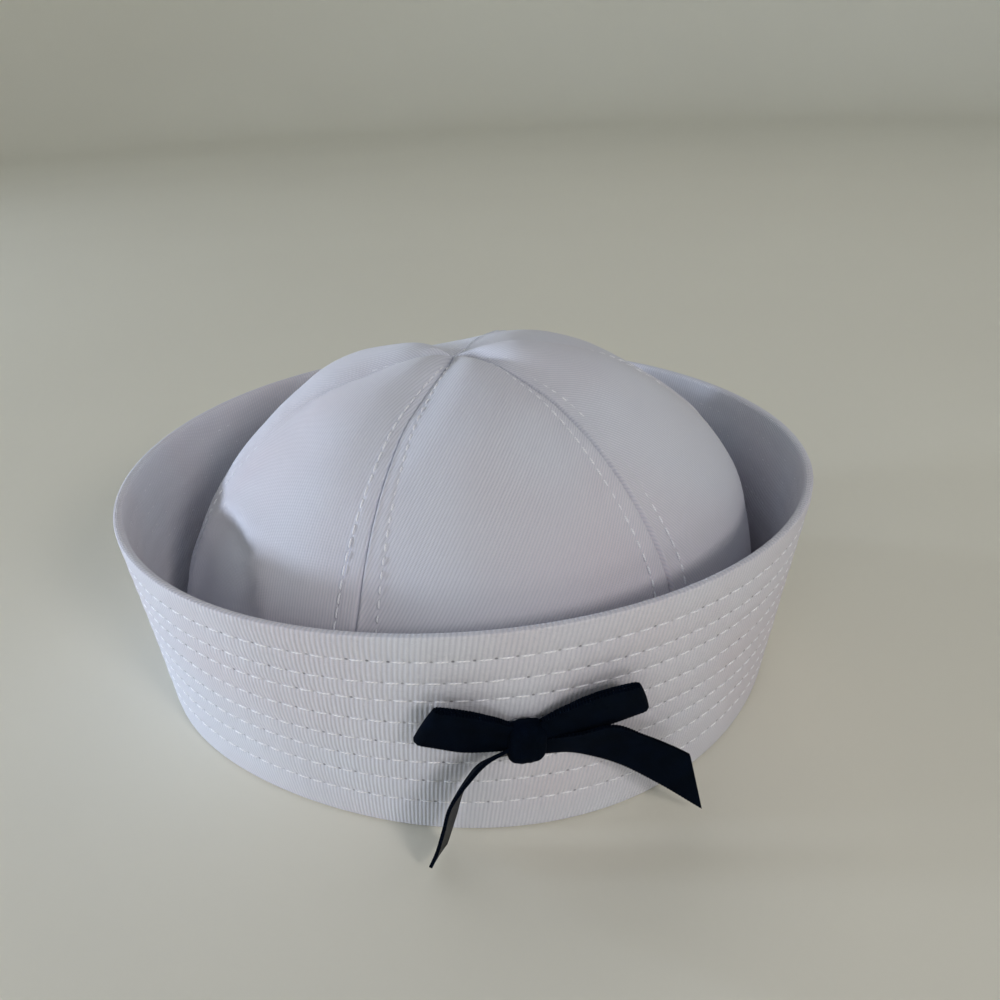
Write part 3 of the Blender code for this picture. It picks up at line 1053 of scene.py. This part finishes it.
    def side_fold(self, plain: np.ndarray) -> np.ndarray:
        """How far the left side of the crown is pushed in, below an arched fold.

        Args:
            plain: Points of the plain face.

        Returns:
            Distances along the outward normal.
        """
        middle, level, half, rise, depth, ridge = self.pushed_in
        azimuth = np.arctan2(plain[..., 0], self.hat.set_back - plain[..., 1])
        across = np.abs(azimuth - middle) * self.foot_size() / half
        above = np.maximum(plain[..., 2] - level, 0.0) / rise
        power, crest, spread, edge, slope = self.arch_edge
        reach = (across ** power + above ** power) ** (1 / power)
        start, end = self.arch_fade
        turned = eased((azimuth - middle - start) / (end - start))
        hollow = depth * eased((edge - reach) / slope)
        return (ridge * bump_at(reach, crest, spread) - hollow) * turned

    def build_gore(self, number: int, material: Material) -> None:
        """Builds and dresses one gore.

        Args:
            number: Gore, counted from 1.
            material: Its cloth.
        """
        shares = self.across(number)
        ways = np.linspace(0.0, 1.0, self.rows)
        plain = self.surface(number, shares, ways)
        points = self.surface(number, shares, ways,
                              self.relief(number, shares, ways, plain))
        rows, _ = self.meridian(ways)
        travel = travelled(plain[len(shares) // 2])
        left, right, _ = self.seams(number)
        flat = np.stack((shares[:, None] * (right - left) / 2 * rows[:, 1],
                         travel[None, :] + 0 * shares[:, None]), axis=-1)
        lean = radians(self.gores[number - 1][2])
        cloth = flat @ np.array(((cos(lean), sin(lean)), (-sin(lean), cos(lean))))
        grid, _ = shaped_grid(f"crown_gore_{number}", points, cloth)
        give_wall(grid, self.cloth, -1.0)
        smooth(grid, radians(75))
        dress(grid, [material])
        attach(grid, Slot.CROWN, f"crown_panel_{number}")

    def build_stitching(self, number: int, side: Side, thread: Material) -> None:
        """Builds one row of topstitching beside a seam.

        Args:
            number: Gore that the row lies on.
            side: Seam of the gore that the row runs beside.
            thread: Material of the stitching.
        """
        share = side.value * (1 - self.stitch_from_seam / self.half_width(number))
        ways = np.linspace(*self.sewn_ways, self.path_points)
        travel = travelled(self.surface(number, np.array((share,)), ways)[0])
        count = int(travel[-1] / self.stitch_pitch)
        random = np.random.default_rng(SEED + 2 * number + side.value)
        stops = (np.arange(count) + 0.5) * self.stitch_pitch
        at = np.interp(stops, travel, ways)
        how_proud, covered = next(
            (row[2:] for row in self.rows_shown if row[:2] == (number, side)),
            self.row_elsewhere)
        half = covered / 2 * self.stitch_pitch / travel[-1] * (ways[-1] - ways[0])
        beside = 0.002
        start, end, right = [
            self.surface(number, np.array((share + aside,)), at + ahead, how_proud)[0]
            for aside, ahead in ((0.0, -half), (0.0, half), (beside, 0.0))]
        middle = (start + end) / 2
        way = end - start
        normal = np.cross(right - middle, way)
        length = np.linalg.norm(way, axis=1) * random.normal(*self.stitch_length, count)
        name = f"crown_stitching_{number}_{side.name.lower()}"
        stitch = Stitch(radius=self.stitch_radius, dive=self.stitch_dive)
        stitching = stitch.row(name, middle, way, normal, length)
        dress(stitching, [thread])
        attach(stitching, Slot.CROWN)

    def build(self, twill: CottonTwill, thread: Material) -> None:
        """Builds and dresses the six gores and their stitching.

        Args:
            twill: Finish of the cloth.
            thread: Material of the stitching.
        """
        material = twill.material()
        for number in range(1, len(self.gores) + 1):
            self.build_gore(number, material)
            for side in Side:
                self.build_stitching(number, side, thread)


@dataclass
class Bow:
    """Flat bow of narrow velvet ribbon: a knot, two loops and two cut ends."""

    hat: Hat
    width: float = 0.0125
    thickness: float = 0.0010
    height: float = 0.0367
    knot_width: float = 0.0106
    knot_height: float = 0.0128
    knot_depth: float = 0.0064
    squareness: float = 2.9
    # Columns: place of a fold of the knot, how far it bends, its depth as a share
    knot_folds: tuple = ((-0.52, 0.10, 0.5), (-0.08, 0.06, 0.7), (0.40, -0.10, 0.55))
    fold_width: float = 0.10
    fold_depth: float = 0.00045
    knot_waist: float = 0.07
    knot_merge: float = 0.000002
    loop_depth: float = 0.0036
    loop_pinch: float = 0.0028
    # Columns: side, length, rise, arch of the upper edge, droop of the lower edge
    loops: tuple = ((Side.LEFT, 0.0204, radians(24), 0.0007, 0.0021),
                    (Side.RIGHT, 0.0242, radians(18.5), 0.0017, 0.0))
    loop_tip: float = radians(18)
    droop_at_root: float = 0.4
    # Points along one side of a loop and round its fold, along a cut end, and round the knot
    # and up it
    loop_points: tuple[int, int] = (40, 16)
    tail_points: int = 160
    knot_points: tuple[int, int] = (64, 40)
    gathered: float = 0.50
    loop_root: float = 0.22
    loop_closed: float = 0.55
    tuck: float = 0.0022
    tooth: float = 0.0008
    tooth_depth: float = 0.00016
    columns: int = 15
    crowned: float = 0.0002
    pressed: float = 0.9
    # Columns: right, up and out of the upper edge, then of the lower edge, in ribbon widths
    # from the middle of the knot, out being measured from the face of the brim
    tail_right: tuple = (
        (0.30, 0.08, 0.34, 0.30, -0.40, 0.26), (1.00, 0.22, 0.47, 0.88, -0.46, 0.27),
        (1.62, 0.30, 0.46, 1.34, -0.66, 0.28), (2.33, -0.16, 0.42, 1.93, -0.98, 0.34),
        (2.86, -0.54, 0.42, 2.68, -1.60, 0.40), (3.28, -0.87, 0.44, 3.71, -2.62, 0.42))
    tail_left: tuple = (
        (-0.30, 0.00, 0.42, -0.28, -0.40, 0.18), (-0.86, -0.02, 0.70, -0.64, -0.58, 0.10),
        (-1.22, -0.27, 0.88, -0.92, -0.80, 0.06), (-1.56, -0.76, 0.96, -1.23, -1.32, 0.12),
        (-1.74, -1.42, 1.01, -1.44, -1.98, 0.23), (-1.90, -2.00, 1.05, -1.60, -2.50, 0.30),
        (-2.04, -2.50, 0.98, -1.66, -2.76, 0.28))

    def placed(self, local: np.ndarray) -> np.ndarray:
        """Points in space from distances right, up and out of the middle of the bow."""
        front = np.zeros(1)
        foot = float(self.hat.brim_radius(front, front)[0])
        rim = float(self.hat.brim_radius(front, front + self.hat.height)[0])
        lean = atan2(rim - foot, self.hat.height)
        middle = around(front, self.hat.brim_radius(front, front + self.height),
                        front + self.height)[0]
        axes = np.array(((1, 0, 0), (0, -sin(lean), cos(lean)), (0, -cos(lean), -sin(lean))))
        return self.hat.in_place(middle + local @ axes)

    def knot_middle(self) -> float:
        """Distance from the brim's face to the middle of the knot."""
        return self.hat.join_gap + self.knot_depth / 2

    def ribbon(self, name: str, upper: np.ndarray, lower: np.ndarray, outside: int
               ) -> tuple[Object, float]:
        """Models a strip of ribbon between two edges, with picot teeth along both.

        Args:
            name: Name of the piece.
            upper: Points along its upper edge, in the bow's distances.
            lower: Points along its lower edge.
            outside: 1 where the pile looks along way times across, else -1.

        Returns:
            The ribbon, and its length along the middle.
        """
        middle = (upper + lower) / 2
        way = np.gradient(middle, axis=0)
        normal = units(np.cross(way, upper - lower)) * outside
        travel = travelled(middle)
        count = 2 * int(travel[-1] / self.tooth)
        stops = np.linspace(0, travel[-1], count + 1)

        def even(table: np.ndarray) -> np.ndarray:
            """Reads a table at even stops along the ribbon."""
            return np.stack([np.interp(stops, travel, column) for column in table.T], axis=1)

        top, low, face = even(upper), even(lower), units(even(normal))
        side = units(top - low)
        tooth = self.tooth_depth * (-1.0) ** np.arange(count + 1)
        tooth[[0, -1]] = 0.0
        share = (1 - np.cos(np.linspace(0, pi, self.columns))) / 2
        points = low[:, None] + (top - low)[:, None] * share[None, :, None]
        points[:, 0] -= side * tooth[:, None]
        points[:, -1] += side * tooth[:, None]
        bulge = self.crowned * (1 - (2 * share - 1) ** 2)
        points += face[:, None] * bulge[None, :, None]
        cloth = np.zeros((count + 1, self.columns, 2))
        cloth[..., 0] = stops[:, None]
        cloth[..., 1] = share * self.width
        grid, _ = shaped_grid(name, self.placed(points), cloth)
        if outside < 0:
            flip(grid)
        return grid, float(travel[-1])

    def finish_ribbon(self, piece: Object, node: str,
                      materials: list[Material]) -> None:
        """Thickens and dresses a ribbon, and attaches it to the hat in place of its CAD node.

        Args:
            piece: Ribbon as a sheet.
            node: CAD node that it stands for.
            materials: Pile, woven back and selvedge.
        """
        dress(piece, materials)
        give_wall(piece, self.thickness * self.pressed, 0.0, back=1)
        smooth(piece, radians(60))
        attach(piece, Slot.BOW, node)

    def loop_route(self, length: float) -> np.ndarray:
        """Route of a loop along the brim and out of it, from the knot and back to it."""
        spread, pinch = [(depth - self.thickness) / 2
                         for depth in (self.loop_depth, self.loop_pinch)]
        turn = length - self.thickness / 2 - spread
        along, round_fold = self.loop_points
        share = np.linspace(0, 1, along)[:-1]
        out = np.stack((turn * share, -(pinch + (spread - pinch) * eased(2 * share))), 1)
        angle = np.linspace(-pi / 2, pi / 2, round_fold)
        fold = np.stack((turn + spread * np.cos(angle), spread * np.sin(angle)), 1)
        return np.concatenate((out, fold, out[::-1] * (1, -1)))

    def build_loop(self, side: Side, length: float, rise: float, arch: float, droop: float,
                   materials: list[Material]) -> None:
        """Builds a flattened loop that leaves the knot on one side and slopes upwards.

        Args:
            side: Side of the knot.
            length: How far it reaches.
            rise: Angle that it slopes at.
            arch: How far its upper edge arches up.
            droop: How far its lower edge droops.
            materials: Pile, woven back and selvedge.
        """
        name = side.name.lower()
        ahead, out = self.loop_route(length).T
        share = np.clip(ahead / length * 2, 0, 1)
        opened = (share * (2 - share))[:, None]
        width = self.width * (self.gathered + (1 - self.gathered) * opened)
        sloping = np.array((-side.value * sin(rise) * cos(self.loop_tip),
                            cos(rise) * cos(self.loop_tip), sin(self.loop_tip)))
        across = (np.array((0, 1, 0)) * (1 - opened) + sloping * opened) * width / 2
        start = self.knot_width / 2 + self.hat.join_gap
        tucked = self.tuck * (1 - np.clip(ahead / (3 * self.tuck), 0, 1))
        middle = np.stack((side.value * (start - tucked + ahead * cos(rise)),
                           self.knot_height * self.loop_root + ahead * sin(rise),
                           self.knot_middle() + out), 1)
        along = np.clip(ahead / length, 0, 1)
        root = self.droop_at_root
        upper, lower = middle + across, middle - across
        upper[:, 1] += np.sin(pi * along) * arch
        upper[:, 2] -= out * self.loop_closed
        lower[:, 1] -= (root + (1 - root) * eased(2 * along)) * droop
        piece, cut = self.ribbon(f"ribbon_loop_{name}", upper, lower, -side.value)
        self.finish_ribbon(piece, f"bow_loop_{name}", materials)

    def build_tail(self, side: Side, materials: list[Material]) -> None:
        """Builds a cut end of the ribbon.

        Args:
            side: Side of the knot.
            materials: Pile, woven back and selvedge.
        """
        name = side.name.lower()
        table = self.tail_left if side is Side.LEFT else self.tail_right
        rows = read_curve(table, 6, np.linspace(0, 1, self.tail_points)) * self.width
        piece, cut = self.ribbon(f"ribbon_end_{name}", rows[:, :3], rows[:, 3:], 1)
        self.finish_ribbon(piece, f"bow_tail_{name}", materials)

    def build_knot(self, velvet: Material) -> None:
        """Builds the wrapped middle of the bow, with the folds of the gathered ribbon.

        Args:
            velvet: Material of the pile.
        """
        bpy.ops.object.select_all(action="DESELECT")
        round_it, up = self.knot_points
        bpy.ops.mesh.primitive_uv_sphere_add(segments=round_it, ring_count=up, radius=1,
                                             location=(0, 0, 0), calc_uvs=False)
        knot = bpy.context.object
        knot.name = "ribbon_knot"
        ball = read_all(knot.data.vertices, "co", 3)
        power = 2 / self.squareness
        level = np.clip(np.hypot(ball[:, 0], ball[:, 1]), 1e-9, None)
        turned = ball[:, :2] / level[:, None]
        boxed = np.sign(turned) * np.abs(turned) ** power
        girth = level ** power
        rise = np.sign(ball[:, 2]) * np.abs(ball[:, 2]) ** power
        across = boxed[:, 0] * girth
        folds = sum(depth * bump_at(across - bend * rise ** 2, at, self.fold_width)
                    for at, bend, depth in self.knot_folds)
        waist = 1 - self.knot_waist * (1 - rise ** 2)
        depth = girth * (boxed[:, 1] * self.knot_depth / 2
                         - np.sign(boxed[:, 1]) * self.fold_depth * folds)
        local = np.stack((across * self.knot_width / 2 * waist,
                          rise * self.knot_height / 2,
                          self.knot_middle() - depth), 1)
        knot.data.vertices.foreach_set("co", self.placed(local).ravel())
        knot.data.update()
        merge(knot, self.knot_merge)
        smooth(knot, radians(80))
        dress(knot, [velvet])
        attach(knot, Slot.BOW, "bow_knot")

    def build(self) -> None:
        """Builds and dresses the knot, the loops and the cut ends."""
        pile = Velvet().material()
        materials = [pile, RIBBON_BACK.material()]
        self.build_knot(pile)
        for loop in self.loops:
            self.build_loop(*loop, materials)
            self.build_tail(loop[0], materials)


@dataclass
class Studio:
    """Camera at the photographed angle, a plain pale floor and soft light."""

    eye: tuple[float, float, float] = (-0.02950, -0.29152, 0.19110)
    yaw: float = radians(7.82)
    pitch: float = radians(25.58)
    roll: float = radians(-2.55)
    lens_mm: float = 36.0
    sensor_mm: float = 36.0
    floor_radius: float = 1.8
    cove_radius: float = 0.5
    wall_height: float = 2.4
    floor_columns: int = 97
    aim: tuple[float, float, float] = (0.0, 0.0, 0.05)
    floor_colour: str = "edebdc"
    floor_shade: str = "e7e4d5"
    # Columns: name, azimuth and elevation in degrees, distance, width, power in watts, colour
    lamps: tuple = (("side", -95.0, 3.8, 1.45, 0.22, 10.5, "dfebff"),
                    ("rear_side", -120.0, 2.4, 1.45, 0.12, 9.0, "dfebff"),
                    ("window", -30.0, 24.0, 1.45, 0.55, 1.5, "f4f6ff"),
                    ("front", 22.0, 27.0, 1.45, 0.28, 4.8, "fff7f5"),
                    ("low_front", 6.0, 6.5, 1.45, 0.30, 1.1, "fbf4f8"),
                    ("back", 150.0, 45.0, 1.45, 0.70, 1.1, "fff9f0"))
    sky: str = "d2d8e6"
    sky_strength: float = 0.38

    def add_camera(self) -> None:
        """Adds the camera and makes it the scene's own."""
        ahead = Vector((sin(self.yaw) * cos(self.pitch), cos(self.yaw) * cos(self.pitch),
                        -sin(self.pitch)))
        right = Vector((cos(self.yaw), -sin(self.yaw), 0))
        up = right.cross(ahead)
        tilted_right = right * cos(self.roll) + up * sin(self.roll)
        tilted_up = up * cos(self.roll) - right * sin(self.roll)
        lens = bpy.data.cameras.new("camera")
        lens.lens = self.lens_mm
        lens.sensor_width = self.sensor_mm
        lens.clip_start = 0.01
        camera = bpy.data.objects.new("camera", lens)
        turn = Matrix((tilted_right, tilted_up, -ahead)).transposed().to_4x4()
        camera.matrix_world = Matrix.Translation(self.eye) @ turn
        bpy.context.scene.collection.objects.link(camera)
        bpy.context.scene.camera = camera

    def add_floor(self) -> None:
        """Adds the plain floor, which rises into a wall all round and isn't part of the hat."""
        turns = np.linspace(0, pi / 2, 13)
        radius = np.concatenate(([0.0], self.floor_radius + self.cove_radius * np.sin(turns),
                                 [self.floor_radius + self.cove_radius]))
        height = np.concatenate(([0.0], self.cove_radius * (1 - np.cos(turns)),
                                 [self.wall_height]))
        azimuth = np.linspace(0, 2 * pi, self.floor_columns)[:, None]
        points = around(azimuth, radius[None, :], height[None, :])
        floor, _ = shaped_grid("floor", points, points[..., :2])
        merge(floor)
        smooth(floor)
        material = new_material("painted_board")
        tree = material.node_tree
        place = add_node(tree, "TexCoord", out="Object")
        patches = add_node(tree, "TexNoise", {"Vector": place}, {"Scale": 3.0, "Detail": 2.0},
                           out="Fac")
        colour = add_node(tree, "Mix", {"Factor": patches},
                          {"A": linear(self.floor_colour), "B": linear(self.floor_shade)},
                          out="Result", data_type="RGBA")
        dress(floor, [surfaced(material, colour, None, (0.0, 0.0),
                               {"Roughness": 0.6, "Specular IOR Level": 0.2})])

    def add_light(self, name: str, azimuth: float, elevation: float, distance: float,
                  size: float, watts: float, colour: str) -> None:
        """Adds a round area light aimed at the hat.

        Args:
            name: Name of the light.
            azimuth: Azimuth of the light about the hat.
            elevation: Its angle above the floor.
            distance: Its distance.
            size: Its width.
            watts: Its power.
            colour: Its colour.
        """
        lamp = bpy.data.lights.new(name, "AREA")
        lamp.shape = "DISK"
        lamp.size = size
        lamp.energy = watts
        lamp.color = linear(colour)[:3]
        light = bpy.data.objects.new(name, lamp)
        away = Vector((sin(azimuth) * cos(elevation), -cos(azimuth) * cos(elevation),
                       sin(elevation)))
        light.location = Vector(self.aim) + away * distance
        light.rotation_euler = away.to_track_quat("Z", "Y").to_euler()
        bpy.context.scene.collection.objects.link(light)

    def add_sky(self) -> None:
        """Gives the scene an even pale surrounding light."""
        world = bpy.data.worlds.new("studio")
        world.use_nodes = True
        background = world.node_tree.nodes["Background"]
        background.inputs["Color"].default_value = linear(self.sky)
        background.inputs["Strength"].default_value = self.sky_strength
        bpy.context.scene.world = world

    def build(self) -> None:
        """Builds the camera, the floor and the lights."""
        self.add_camera()
        self.add_floor()
        self.add_sky()
        for name, azimuth, elevation, distance, size, watts, colour in self.lamps:
            self.add_light(name, radians(azimuth), radians(elevation), distance, size, watts,
                           colour)
        bpy.context.scene.view_settings.view_transform = "Standard"


def main() -> None:
    """Builds the studio and the hat, one sub-assembly after another."""
    logging.basicConfig(level=logging.INFO, format="%(message)s")
    Studio().build()
    hat = Hat()
    thread = SEWING_THREAD.material()
    Brim(hat).build(CottonTwill("brim_cotton_twill", needle_holes=True), thread)
    Crown(hat).build(CottonTwill("crown_cotton_twill", rib_mm=0.85, relief_mm=0.07,
                                 yarn_mm=0.42), thread)
    Bow(hat).build()


if __name__ == "__main__":
    main()
